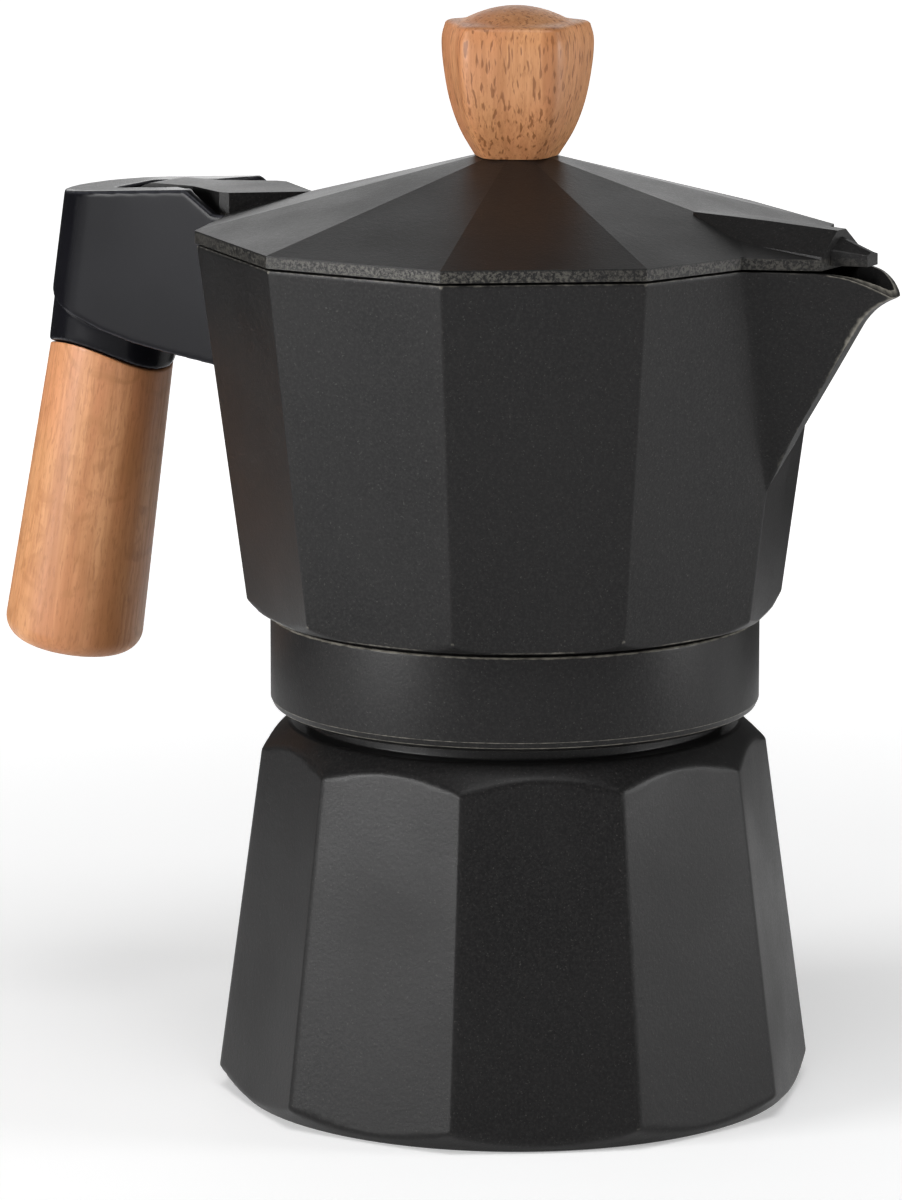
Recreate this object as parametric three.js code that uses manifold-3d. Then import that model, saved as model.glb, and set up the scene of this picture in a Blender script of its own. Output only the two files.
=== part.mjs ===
// Three-cup stovetop moka pot: ten-sided boiler and collector, hinged lid, wooden knob and grip.
// Millimetres, +Z up. The origin is the centre of the base, +X points to the spout, the handle is at -X.
import * as THREE from 'three';
import { mergeVertices } from 'three/addons/utils/BufferGeometryUtils.js';
import Module from 'manifold-3d';

const wasm = await Module();
wasm.setup();

// ---------------------------------------------------------------- driving dimensions
const SIDES = 10;
const gap = 0.1;

const boiler = {
  twist: 1.13,
  baseChamferRadius: 42.54,
  chamferTop: 3.38,
  radiusAtChamfer: 45.84,
  taper: 0.136,
  shoulderRadius: 39.0,
  shoulderZ: 53.55,
  neckBaseRadius: 35.3,
  neckBaseZ: 57.0,
  neckRadius: 32.0,
  neckBore: 28.5,
  neckTop: 70.0,
  floor: 3.6,
};

const thread = { pitch: 3.2, turns: 2.6, maleCrest: 33.0, femaleCrest: 33.25, femaleRoot: 34.0, start: 60.8 };

const collar = { radius: 37.5, bottom: 59.75, top: 74.3, edge: 1.6, grooveRadius: 36.3, grooveTop: 75.0 };

const chamber = {
  radiusLow: 41.26,
  lowZ: 77.41,
  taper: 0.133,
  rimZ: 131.2,
  wall: 2.5,
  floorTop: 80.5,
  undercutRadius: 39.3,
  undercutSlope: 0.816,
};

const spout = {
  rootZ: 97,
  rimHalfWidth: 10.6,
  // keel line from the foot of the spout to its lip, as [x, z]
  keel: [[43.9, 97], [49.6, 107], [53.3, 113], [60.0, 124.0], [62.4, 126.3], [65.4, 127.7], [67.5, 128.4]],
  keelHalfWidth: 1.2,
  keelWall: 3.1,
  channelHalfWidth: 0.7,
  lipX: 65.4,
};

const lid = {
  radius: 48.68,
  bandBottom: 131.55,
  bandTop: 133.4,
  slope: 0.2577,
  topRadius: 6.3,
  wall: 2.2,
  lipRadius: 45.0,
  lipWall: 1.6,
  lipBottom: 129.9,
};
lid.apex = lid.bandTop + (lid.radius - lid.topRadius) * lid.slope;

const hinge = { x: -63, z: 131.4, pinRadius: 1.5, tongueRadius: 5.0, tongueHalf: 4.2, lugTop: 136.4, lugHalf: 8.2 };

const handle = {
  halfWidth: 11,
  topZ: 107.8,
  tilt: 9.9,
  topX: -74.4,
  backTilt: 9.0,
  backX: -74.2,
  backDepth: 9.3,
  cupRadius: 10.05,
  cupHeight: 13,
};

// the grip meets its cup along a saddle: rise = saddleBase + saddleCurve * y^2, in the grip's frame
const grip = {
  topRadius: 9.8,
  endRadius: 11.0,
  length: 48.2,
  endRound: 3.6,
  spigotRadius: 8.0,
  spigot: 7.5,
  saddleBase: 0.3,
  saddleCurve: 0.0287,
};

const knob = { sides: 5, facing: -64, seat: lid.apex + gap, shoulder: 164.6, top: 167.1, domeRadius: 7.8 };

const funnel = { flangeRadius: 32.0, cupRadius: 27.9, sheet: 0.8, cupBottom: 48.8, stemBottom: 9.0, stemRadius: 4.4 };

const valve = { angle: 91.13, z: 36, hexRadius: 6.6 };

// ---------------------------------------------------------------- finishes
const finishes = {
  castBlack: { color: 0x2d2c2b, roughness: 0.62, metalness: 0.35 },
  blackPlastic: { color: 0x2b2c31, roughness: 0.42, metalness: 0.0 },
  beech: { color: 0xc99462, roughness: 0.55, metalness: 0.0 },
  aluminium: { color: 0xb9bbbd, roughness: 0.38, metalness: 0.9 },
  steel: { color: 0xa9abae, roughness: 0.3, metalness: 0.95 },
  brass: { color: 0xb5924c, roughness: 0.35, metalness: 0.9 },
  silicone: { color: 0xe9e6de, roughness: 0.7, metalness: 0.0 },
  fibre: { color: 0x8f2f24, roughness: 0.8, metalness: 0.0 },
};

// ---------------------------------------------------------------- solids
function signedVolume(position, index) {
  const a = new THREE.Vector3();
  const b = new THREE.Vector3();
  const c = new THREE.Vector3();
  let volume = 0;
  for (let i = 0; i < index.length; i += 3) {
    a.fromBufferAttribute(position, index[i]);
    b.fromBufferAttribute(position, index[i + 1]);
    c.fromBufferAttribute(position, index[i + 2]);
    volume += a.dot(b.cross(c)) / 6;
  }
  return volume;
}

// A closed three.js geometry as a manifold solid, with collapsed triangles dropped and faces outward.
function solid(source) {
  const geometry = source.clone();
  geometry.deleteAttribute('normal');
  geometry.deleteAttribute('uv');
  const merged = mergeVertices(geometry, 1e-4);
  const triangles = [];
  for (let i = 0; i < merged.index.count; i += 3) {
    const [a, b, c] = [0, 1, 2].map((k) => merged.index.getX(i + k));
    if (a !== b && b !== c && c !== a) triangles.push(a, b, c);
  }
  if (signedVolume(merged.attributes.position, triangles) < 0) triangles.reverse();
  return new wasm.Manifold(new wasm.Mesh({
    numProp: 3,
    vertProperties: new Float32Array(merged.attributes.position.array),
    triVerts: new Uint32Array(triangles),
  }));
}

function fuse(...solids) {
  return solids.reduce((sum, next) => sum.add(next));
}

function cut(base, ...tools) {
  return tools.reduce((rest, tool) => rest.subtract(tool), base);
}

// Solid of revolution about Z from [radius, z] points. It closes on itself when it is off the axis.
function lathe(profile, segments = 48) {
  const points = profile.map(([r, z]) => new THREE.Vector2(r, z));
  const onAxis = profile[0][0] === 0 && profile[profile.length - 1][0] === 0;
  if (!onAxis) points.push(points[0].clone());
  return solid(new THREE.LatheGeometry(points, segments).rotateX(Math.PI / 2));
}

function disc(radius, low, high, segments = 48) {
  return lathe([[0, low], [radius, low], [radius, high], [0, high]], segments);
}

function ring(inner, outer, low, high, segments = 48) {
  return lathe([[inner, low], [outer, low], [outer, high], [inner, high]], segments);
}

function shapeOf(outline) {
  return new THREE.Shape(outline.map(([x, y]) => new THREE.Vector2(x, y)));
}

// Plan outline [x, y] raised from low to high.
function planBlock(outline, low, high) {
  const depth = high - low;
  return solid(new THREE.ExtrudeGeometry(shapeOf(outline), { depth, bevelEnabled: false }).translate(0, 0, low));
}

// Side outline [x, z] made 2 * half thick across Y.
function sideBlock(outline, half) {
  const geometry = new THREE.ExtrudeGeometry(shapeOf(outline), { depth: 2 * half, bevelEnabled: false });
  return solid(geometry.rotateX(Math.PI / 2).translate(0, half, 0));
}

// Ten-sided frustum with one vertex at the twist angle.
function decagon(lowRadius, low, highRadius, high, twist = 0) {
  const geometry = new THREE.CylinderGeometry(highRadius, lowRadius, high - low, SIDES, 1);
  geometry.rotateX(Math.PI / 2).rotateZ(Math.PI / 2 + THREE.MathUtils.degToRad(twist));
  return solid(geometry.translate(0, 0, (low + high) / 2));
}

// Skin through rings of the same number of points, with a flat fan at each end.
function loft(rings) {
  const count = rings[0].length;
  const vertices = rings.flat(2);
  const index = [];
  for (let level = 0; level + 1 < rings.length; level += 1) {
    for (let i = 0; i < count; i += 1) {
      const a = level * count + i;
      const b = level * count + ((i + 1) % count);
      index.push(a, b, b + count, a, b + count, a + count);
    }
  }
  const last = (rings.length - 1) * count;
  for (let i = 1; i + 1 < count; i += 1) {
    index.push(0, i + 1, i);
    index.push(last, last + i, last + i + 1);
  }
  const geometry = new THREE.BufferGeometry();
  geometry.setAttribute('position', new THREE.Float32BufferAttribute(vertices, 3));
  geometry.setIndex(index);
  return solid(geometry);
}

// Helical ridge whose crest fades into its root at both ends.
function threadRidge(root, crest, start, steps = 28) {
  const total = Math.round(thread.turns * steps);
  const rings = [];
  for (let i = 0; i <= total; i += 1) {
    const angle = (i / steps) * 2 * Math.PI;
    const fade = Math.min(1, i / 6, (total - i) / 6);
    const z = start + (i / steps) * thread.pitch;
    const tip = root + (crest - root) * Math.max(fade, 0.05);
    const section = [[root, z - 0.95], [tip, z - 0.3], [tip, z + 0.3], [root, z + 0.95]];
    rings.push(section.map(([r, height]) => [r * Math.cos(angle), r * Math.sin(angle), height]));
  }
  return loft(rings);
}

function arc(cx, cy, radius, from, to, steps) {
  return Array.from({ length: steps + 1 }, (_, i) => {
    const angle = THREE.MathUtils.degToRad(from + ((to - from) * i) / steps);
    return [cx + radius * Math.cos(angle), cy + radius * Math.sin(angle)];
  });
}

// Cylinder of the given radius between two points.
function rod(radius, from, to, segments = 24) {
  const start = new THREE.Vector3(...from);
  const end = new THREE.Vector3(...to);
  const geometry = new THREE.CylinderGeometry(radius, radius, start.distanceTo(end), segments, 1);
  const turn = new THREE.Quaternion().setFromUnitVectors(
    new THREE.Vector3(0, 1, 0),
    end.clone().sub(start).normalize(),
  );
  const middle = start.clone().add(end).multiplyScalar(0.5);
  return solid(geometry.applyQuaternion(turn).translate(middle.x, middle.y, middle.z));
}

// The same solid, moved by a local frame.
function placed(manifold, frame) {
  return manifold.transform(frame.matrix.elements);
}

function frameAt(position, rotation) {
  const frame = new THREE.Object3D();
  frame.position.set(...position);
  frame.rotation.set(...rotation.map(THREE.MathUtils.degToRad), 'ZYX');
  frame.updateMatrix();
  return frame;
}

const gripFrame = frameAt([handle.topX, 0, handle.topZ], [0, handle.tilt, 0]);
const backFrame = frameAt([handle.backX, 0, handle.topZ], [0, handle.backTilt, 0]);

// ---------------------------------------------------------------- shared shapes
function boilerRadius(z) {
  return boiler.radiusAtChamfer - boiler.taper * (z - boiler.chamferTop);
}

function chamberRadius(z) {
  return chamber.radiusLow + chamber.taper * (z - chamber.lowZ);
}

function chamberBlock(offset, low, high) {
  return decagon(chamberRadius(low) + offset, low, chamberRadius(high) + offset, high);
}

const facetTilt = (Math.atan(boiler.taper * Math.cos(Math.PI / SIDES)) * 180) / Math.PI;
const valveDistance = boilerRadius(valve.z) * Math.cos(Math.PI / SIDES);
const valveAngle = THREE.MathUtils.degToRad(valve.angle);
// Local Z of this frame is the valve's axis, square to its facet and pointing outward.
const valveFrame = frameAt(
  [valveDistance * Math.cos(valveAngle), valveDistance * Math.sin(valveAngle), valve.z],
  [0, 90 - facetTilt, valve.angle],
);

// ---------------------------------------------------------------- boiler
function makeBoiler() {
  const top = 58;
  const shell = decagon(boilerRadius(0), 0, boilerRadius(top), top, boiler.twist);
  const shoulderRun = (boiler.shoulderRadius - boiler.neckBaseRadius) / (boiler.neckBaseZ - boiler.shoulderZ);
  const wide = boiler.radiusAtChamfer + 1.2;
  const chamferRun = (boiler.radiusAtChamfer - boiler.baseChamferRadius) / boiler.chamferTop;
  const turned = lathe([
    [0, 0],
    [boiler.baseChamferRadius, 0],
    [wide, (wide - boiler.baseChamferRadius) / chamferRun],
    [wide, boiler.shoulderZ - (wide - boiler.shoulderRadius) / shoulderRun],
    [boiler.shoulderRadius, boiler.shoulderZ],
    [boiler.neckBaseRadius, boiler.neckBaseZ],
    [boiler.neckBaseRadius - 0.9, boiler.neckBaseZ + 0.4],
    [0, boiler.neckBaseZ + 0.4],
  ], 60);
  const neck = disc(boiler.neckRadius, boiler.neckBaseZ - 1, boiler.neckTop);
  const male = threadRidge(boiler.neckRadius - 0.2, thread.maleCrest, thread.start);
  const cavity = lathe([
    [0, boiler.floor],
    [36, boiler.floor],
    [39.3, 7.2],
    [34.3, 49.5],
    [boiler.neckBore, 55],
    [boiler.neckBore, boiler.neckTop + 1],
    [0, boiler.neckTop + 1],
  ]);
  const valveHole = placed(disc(4.3, -10, 3, 24), valveFrame);
  return cut(fuse(shell.intersect(turned), neck, male), cavity, valveHole);
}

// ---------------------------------------------------------------- collector
function keelX(z) {
  const line = spout.keel;
  const last = line.length - 1;
  const i = Math.min(Math.max(line.findIndex(([, level]) => level > z), 1), last);
  const [x0, z0] = line[i - 1];
  const [x1, z1] = line[i];
  return x0 + ((x1 - x0) * (z - z0)) / (z1 - z0);
}

// Horizontal section of the spout wedge: blunt keel in front, sides running back into the chamber.
function spoutSection(z, keelBack, halfWidth, reach) {
  const share = (Math.min(z, chamber.rimZ) - spout.rootZ) / (chamber.rimZ - spout.rootZ);
  const sideY = Math.max(spout.rimHalfWidth * share, 0.3);
  const sideX = chamberRadius(z) - sideY * Math.tan(Math.PI / SIDES);
  const nose = keelX(z);
  const blunt = Math.min(spout.keelHalfWidth, sideY * 0.5);
  const run = (sideY - blunt) / (nose - sideX);
  const frontX = nose - keelBack;
  const front = keelBack > 0 ? halfWidth : blunt;
  const backX = keelBack > 0 ? reach : sideX - 5;
  const backY = front + (frontX - backX) * run;
  return [[backX, -backY, z], [frontX, -front, z], [frontX, front, z], [backX, backY, z]];
}

function makeSpout() {
  const levels = [98, 102, 107, 113, 118.5, 124, 126.3, 127.7, 128.4];
  const outer = levels.map((z) => spoutSection(z, 0, 0, 0));
  outer.unshift([[38, -0.3, 96.2], [43.0, -0.25, 96.2], [43.0, 0.25, 96.2], [38, 0.3, 96.2]]);
  outer.push(spoutSection(131.2, 0, 0, 0));
  return loft(outer);
}

function makeChannel() {
  const levels = [101, 107, 113, 118.5, 124, 126.3, 127.7, 129.6];
  const inner = levels.map((z) => spoutSection(z, spout.keelWall, spout.channelHalfWidth, 36));
  inner.push(spoutSection(133, spout.keelWall, spout.channelHalfWidth, 36));
  return loft(inner);
}

// Everything over the lip: level to the end of the lid's cover, then falling in an arc to the tip.
function mouthCutter() {
  const level = chamber.rimZ;
  return sideBlock([
    [30, level],
    [57.0, level],
    [60.2, level - 0.5],
    [62.6, level - 1.5],
    [64.3, level - 2.6],
    [spout.lipX, level - 3.5],
    [72, level - 3.9],
    [72, level + 6],
    [30, level + 6],
  ], 20);
}

function lipTrim() {
  return cut(
    planBlock([[55, -14], [75, -14], [75, 14], [55, 14]], 118, 140),
    planBlock([[50, -14], ...arc(55, 0, spout.lipX - 55, -60, 60, 10), [50, 14]], 117, 141),
  );
}

function makeCollector() {
  const blank = chamberBlock(0, 73, chamber.rimZ);
  const wide = 60;
  const undercut = lathe([
    [0, collar.grooveTop],
    [chamber.undercutRadius, collar.grooveTop],
    [wide, collar.grooveTop + (wide - chamber.undercutRadius) / chamber.undercutSlope],
    [wide, 140],
    [0, 140],
  ], 60);
  const skirt = lathe([
    [0, collar.bottom],
    [collar.radius - collar.edge, collar.bottom],
    [collar.radius - 0.4, collar.bottom + 0.7],
    [collar.radius, collar.bottom + collar.edge],
    [collar.radius, collar.top],
    [collar.grooveRadius, collar.top],
    [collar.grooveRadius, collar.grooveTop + 0.3],
    [0, collar.grooveTop + 0.3],
  ], 60);
  const lug = sideBlock([[-40, 113], [-60, 113], [-62, 115], [-62, 121.5], [-40, 121.5]], 4.5);
  const outside = fuse(blank.intersect(undercut), skirt, makeSpout(), lug);
  const chamberTop = chamber.rimZ + 5;
  const chamberVoid = chamberBlock(-chamber.wall, chamber.floorTop, chamberTop).intersect(lathe([
    [0, chamber.floorTop],
    [34, chamber.floorTop],
    [38.5, chamber.floorTop + 3.6],
    [60, chamber.floorTop + 40],
    [60, chamberTop + 1],
    [0, chamberTop + 1],
  ]));
  const skirtBore = lathe([
    [0, 59],
    [thread.femaleRoot, 59],
    [thread.femaleRoot, 70.8],
    [33.2, 71.4],
    [33.2, 74.1],
    [29.0, 74.1],
    [29.0, 75.0],
    [26.0, 75.0],
    [5.6, 78.3],
    [0, 78.3],
  ]);
  const boss = ring(5.4, 9.0, 78.6, 85.5, 32);
  const columnHole = disc(5.4, 77, 86, 32);
  const screwHole = disc(2.05, 114, 125, 20).translate([-58.3, 0, 0]);
  const female = threadRidge(thread.femaleRoot + 0.2, thread.femaleCrest, thread.start + thread.pitch / 2)
    .intersect(ring(30, 35.2, 60.2, 70.7));
  const body = cut(outside, chamberVoid, makeChannel(), skirtBore, mouthCutter(), lipTrim(), columnHole, screwHole);
  return fuse(body, boss, female);
}

// ---------------------------------------------------------------- lid
// Cross-section of the spout cover at a station x: flat ridge, roof, eave, skirt.
function coverSection(x, ridgeHalf, ridgeZ, eaveHalf, eaveZ, rimHalf, rimZ, bottom) {
  const half = [[ridgeHalf, ridgeZ], [eaveHalf, eaveZ], [rimHalf, rimZ], [rimHalf, bottom]];
  const left = half.map(([y, z]) => [x, y, z]).reverse();
  const right = half.map(([y, z]) => [x, -y, z]);
  return [...left, ...right];
}

function makeLid() {
  const band = decagon(lid.radius, lid.bandBottom, lid.radius, lid.bandTop);
  const cone = decagon(lid.radius, lid.bandTop, lid.topRadius, lid.apex);
  const cover = loft([
    coverSection(31.5, 1.0, 138.05, 1.6, 136.5, 2.0, 135.5, 134),
    coverSection(37.8, 1.3, 137.9, 5.0, 135.1, 5.8, 134.7, 132.5),
    coverSection(45.2, 1.3, 137.6, 5.5, 134.4, 10.9, 133.2, lid.bandBottom),
    coverSection(56.0, 1.3, 137.0, 6.1, 133.6, 6.2, 133.2, lid.bandBottom),
  ]);
  const tongue = loft([
    coverSection(50, 0.4, 137.0, 3.2, 134.6, 3.4, 134.3, 132.0),
    coverSection(55, 0.4, 136.3, 3.2, 134.5, 3.4, 134.3, 132.0),
    coverSection(61.2, 0.4, 134.0, 1.5, 133.7, 1.6, 133.6, 132.0),
  ]);
  const lugPlan = planBlock([
    [-36.4, 0],
    [-46.6, hinge.lugHalf],
    [-48.4, hinge.lugHalf],
    [-56, hinge.tongueHalf],
    [-70, hinge.tongueHalf],
    [-70, -hinge.tongueHalf],
    [-56, -hinge.tongueHalf],
    [-48.4, -hinge.lugHalf],
    [-46.6, -hinge.lugHalf],
  ], 120, 140);
  const lugSide = sideBlock([
    [-36, lid.bandBottom],
    [-36, hinge.lugTop],
    ...arc(hinge.x, hinge.z, hinge.tongueRadius, 90, 300, 14),
    [-56.5, lid.bandBottom],
  ], 12);
  const inner = lid.radius - 3.1;
  const low = lid.bandTop + (lid.radius - inner) * lid.slope - lid.wall;
  const innerTop = 5.4;
  const hollow = fuse(
    decagon(inner, lid.lipBottom - 2, inner, low),
    decagon(inner, low, innerTop, low + (inner - innerTop) * lid.slope),
  );
  const coverHollow = loft([
    coverSection(31, 0.3, 135.0, 1.5, 133.4, 1.6, 133.3, 130),
    coverSection(45, 0.3, 135.3, 4.4, 132.2, 6.6, 131.9, 130),
    coverSection(53.5, 0.3, 134.7, 3.4, 132.2, 3.8, 132.0, 130),
  ]);
  const lip = cut(
    decagon(lid.lipRadius, lid.lipBottom, lid.lipRadius, low + 0.9),
    decagon(lid.lipRadius - lid.lipWall, lid.lipBottom - 1, lid.lipRadius - lid.lipWall, low + 2),
    planBlock([[30, -9.6], [50, -9.6], [50, 9.6], [30, 9.6]], 120, 150),
  );
  const outside = fuse(band, cone, cover, tongue, lugPlan.intersect(lugSide));
  const hollowed = fuse(cut(outside, hollow, coverHollow), lip);
  const pinHole = rod(hinge.pinRadius + 0.12, [hinge.x, -15, hinge.z], [hinge.x, 15, hinge.z]);
  const knobHole = disc(2.2, 138, 150, 20);
  return cut(hollowed, pinHole, knobHole);
}

// ---------------------------------------------------------------- knob and its fixing
// Radius of a soft-cornered polygon of unit half-width at an angle.
function softPolygon(angle, sides, sharpness) {
  let sum = 0;
  for (let k = 0; k < sides; k += 1) {
    sum += Math.max(Math.cos(angle - (2 * Math.PI * k) / sides), 0) ** sharpness;
  }
  return sum ** (-1 / sharpness);
}

function makeKnob() {
  const outline = new THREE.SplineCurve([
    [5.9, knob.seat], [7.9, 148.2], [9.3, 152.7], [10.1, 158.0], [10.25, 161.8], [9.8, 163.9],
  ].map(([r, z]) => new THREE.Vector2(r, z)));
  const facing = THREE.MathUtils.degToRad(knob.facing);
  const points = 40;
  function levelRing(radius, z, sharpness) {
    return Array.from({ length: points }, (_, i) => {
      const angle = (2 * Math.PI * i) / points;
      const r = radius * (sharpness ? softPolygon(angle, knob.sides, sharpness) : 1);
      return [r * Math.cos(angle + facing), r * Math.sin(angle + facing), z];
    });
  }
  const rings = outline.getPoints(9).map((p, i) => levelRing(p.x, p.y, 8 + i * 0.9));
  rings.push(levelRing(9.2, knob.shoulder, 18));
  rings.push(levelRing(knob.domeRadius, knob.shoulder + 0.45, 0));
  rings.push(levelRing(5.0, 166.3, 0));
  rings.push(levelRing(2.0, knob.top, 0));
  const bore = disc(3.05, knob.seat - 1, 153.5, 20);
  return cut(loft(rings), bore);
}

const makeKnobInsert = () => ring(1.75, 2.95, knob.seat + 0.4, 153.0, 20);
const makeKnobWasher = () => ring(2.1, 4.3, 141.0, 141.8, 24);
const makeKnobScrew = () => fuse(disc(3.4, 138.9, 140.9, 24), disc(1.6, 140, 152, 20));

// ---------------------------------------------------------------- handle
// Everything between the saddle, moved up by an offset, and a level above or below it.
function saddleBlock(offset, level) {
  const half = 13;
  const across = Array.from({ length: 27 }, (_, i) => i - half);
  const curve = across.map((y) => [y, grip.saddleBase + offset + grip.saddleCurve * y * y]);
  return sideBlock([...curve, [half, level], [-half, level]], half).rotate([0, 0, 90]);
}

function makeBracket() {
  const side = sideBlock([
    [-42, 108.9],
    [-56.4, 110.9],
    [-63.0, 111.95],
    [-69.2, 113.5],
    [-76.6, 116.4],
    [-84.0, 120.2],
    [-92, 125.0],
    [-92, 133.7],
    [-53, 136.7],
    [-47.8, 133.2],
    [-42, 133.2],
  ], handle.halfWidth);
  const bow = arc(0, 0, handle.halfWidth, 90, 270, 20).map(([x, y]) => [
    (x * handle.backDepth) / handle.halfWidth - 1,
    y,
  ]);
  const back = placed(planBlock([[60, -handle.halfWidth], [60, handle.halfWidth], ...bow], -20, 45), backFrame);
  const cupBody = lathe([
    [0, -1],
    [handle.cupRadius, -1],
    [handle.cupRadius + 0.25, handle.cupHeight],
    [0, handle.cupHeight],
  ]);
  const cup = placed(cut(cupBody, saddleBlock(0, -6)), gripFrame);
  const socket = placed(disc(8.2, -5, 8.0, 36), gripFrame);
  const insertHole = placed(disc(3.3, 6, 15.8, 20), gripFrame);
  const slot = planBlock([[-69.6, 5.2], [-69.6, -5.2], [-56.6, -5.2], [-56.6, 5.2]], 126, 140);
  const mouth = planBlock([
    [-58, -5.2], [-52.2, -9.2], [-40, -9.2], [-40, 9.2], [-52.2, 9.2], [-58, 5.2],
  ], 130.8, 140);
  const lugPocket = planBlock([[-62.3, 4.8], [-62.3, -4.8], [-40, -4.8], [-40, 4.8]], 100, 121.8);
  const body = chamberBlock(0.3, 100, 132);
  const lidRoom = decagon(49.3, 131, 49.3, 150);
  const pinHole = rod(hinge.pinRadius + 0.12, [hinge.x, -9.8, hinge.z], [hinge.x, 15, hinge.z]);
  const screwHole = disc(2.3, 118, 130, 20).translate([-58.3, 0, 0]);
  const screwSeat = disc(3.2, 124.1, 130, 24).translate([-58.3, 0, 0]);
  return cut(
    fuse(side.intersect(back), cup),
    socket, insertHole, slot, mouth, lugPocket, body, lidRoom, pinHole, screwHole, screwSeat,
  );
}

function makeGrip() {
  const { topRadius, endRadius, length, endRound, spigotRadius, spigot } = grip;
  const corner = arc(endRadius - endRound, -length + 0.5 + endRound, endRound, -86, 0, 6);
  const stock = lathe([[0, -length + 0.25], ...corner, [topRadius, -0.15], [topRadius - 0.05, 5], [0, 5]]);
  const body = fuse(cut(stock, saddleBlock(-0.15, 12)), disc(spigotRadius, -2, spigot));
  return cut(body, disc(2.6, -41, spigot + 1), disc(5.3, -length - 1, -40.6));
}

const makeGripInsert = () => ring(2.15, 3.2, 8.6, 15.4, 20);
const makeGripWasher = () => ring(2.2, 4.9, -41.5, -40.7, 24);
const makeGripScrew = () => fuse(disc(4.2, -44.6, -41.6, 24), disc(2.0, -42, 14.8, 20));
const makeBracketScrew = () => fuse(disc(2.9, 124.2, 125.8, 24), disc(1.9, 115, 125, 20)).translate([-58.3, 0, 0]);
const makeHingePin = () => rod(hinge.pinRadius, [hinge.x, -9.6, hinge.z], [hinge.x, 10.7, hinge.z]);

// ---------------------------------------------------------------- column, seal and filter plate
function makeColumn() {
  const tube = lathe([
    [0, 119.4],
    [3.2, 118.4],
    [3.3, 79.6],
    [5.3, 79.6],
    [5.3, 88],
    [4.7, 118],
    [3.2, 121.4],
    [0, 122.2],
  ], 32);
  const outlet = sideBlock([[-2, 112.5], [2, 112.5], [2, 117.5], [-2, 117.5]], 9);
  return cut(tube, outlet);
}

const makeGasket = () => ring(25.6, 32.7, 71.0, 74.0, 60);

const plateRows = [[7, 6], [14, 12], [21, 18]];
const plateHole = 1.0;

// Round plate with rings of small six-sided holes, given as [ring radius, count].
function perforatedPlate(radius, low, high) {
  const rim = Array.from({ length: 48 }, (_, i) => (2 * Math.PI * i) / 48);
  const shape = shapeOf(rim.map((angle) => [radius * Math.cos(angle), radius * Math.sin(angle)]));
  for (const [rowRadius, count] of plateRows) {
    for (let i = 0; i < count; i += 1) {
      const angle = (2 * Math.PI * (i + 0.5)) / count;
      const corners = arc(rowRadius * Math.cos(angle), rowRadius * Math.sin(angle), plateHole, 0, -300, 5);
      shape.holes.push(new THREE.Path(corners.map(([x, y]) => new THREE.Vector2(x, y))));
    }
  }
  const geometry = new THREE.ExtrudeGeometry(shape, { depth: high - low, bevelEnabled: false });
  return solid(geometry.translate(0, 0, low));
}

const makeFilterPlate = () => perforatedPlate(28.6, 74.1, 74.9);

// ---------------------------------------------------------------- coffee funnel
function makeBasket() {
  const { flangeRadius, cupRadius, sheet, cupBottom } = funnel;
  const seat = boiler.neckTop + gap;
  return lathe([
    [5.3, 40],
    [5.3, 44.8],
    [cupRadius - 0.8, cupBottom],
    [cupRadius, seat],
    [flangeRadius, seat],
    [flangeRadius, seat + sheet],
    [cupRadius - sheet, seat + sheet],
    [cupRadius - 1.6, cupBottom + 0.9],
    [4.6, 45.7],
    [4.6, 40],
  ]);
}

const makeSieve = () => perforatedPlate(25.9, 50.2, 51.0);
const makeStem = () => ring(3.7, funnel.stemRadius, funnel.stemBottom, 44.5, 24);

// ---------------------------------------------------------------- safety valve, local Z outward
function makeValveBody() {
  const hex = solid(new THREE.CylinderGeometry(valve.hexRadius, valve.hexRadius, 4.4, 6, 1)
    .rotateX(Math.PI / 2).translate(0, 0, 3.5));
  const stem = disc(4.1, -7, 2, 24);
  const nose = disc(4.5, 5, 6.7, 24);
  const bore = disc(3.1, -5.4, 8, 24);
  const seat = disc(1.3, -8, -5, 16);
  return cut(fuse(hex, stem, nose), bore, seat);
}

const makeValveSeal = () => ring(4.35, 6.4, 0.15, 1.15, 24);
const makeValvePin = () => fuse(disc(1.0, -4.6, 7.5, 16), disc(2.5, -5.3, -4.3, 20));
const makeValveRetainer = () => ring(1.25, 3.0, 4.9, 6.3, 20);

function makeValveSpring() {
  const coils = 6;
  const steps = 14;
  const wire = 0.3;
  const [low, high] = [-3.9, 4.5];
  const rings = [];
  for (let i = 0; i <= coils * steps; i += 1) {
    const turn = (i / steps) * 2 * Math.PI;
    const z = low + ((high - low) * i) / (coils * steps);
    rings.push(Array.from({ length: 6 }, (_, k) => {
      const around = (2 * Math.PI * k) / 6;
      const r = 2.0 + wire * Math.cos(around);
      return [r * Math.cos(turn), r * Math.sin(turn), z - wire * Math.sin(around)];
    }));
  }
  return loft(rings);
}

// ---------------------------------------------------------------- assembly
function toMesh(name, manifold, finish) {
  const { vertProperties, triVerts, numProp } = manifold.getMesh();
  const positions = [];
  for (let i = 0; i < vertProperties.length; i += numProp) {
    positions.push(vertProperties[i], vertProperties[i + 1], vertProperties[i + 2]);
  }
  const geometry = new THREE.BufferGeometry();
  geometry.setAttribute('position', new THREE.Float32BufferAttribute(positions, 3));
  geometry.setIndex(Array.from(triVerts));
  geometry.computeVertexNormals();
  const mesh = new THREE.Mesh(geometry, new THREE.MeshStandardMaterial(finishes[finish]));
  mesh.name = name;
  return mesh;
}

const mokaPot = new THREE.Group();

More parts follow.
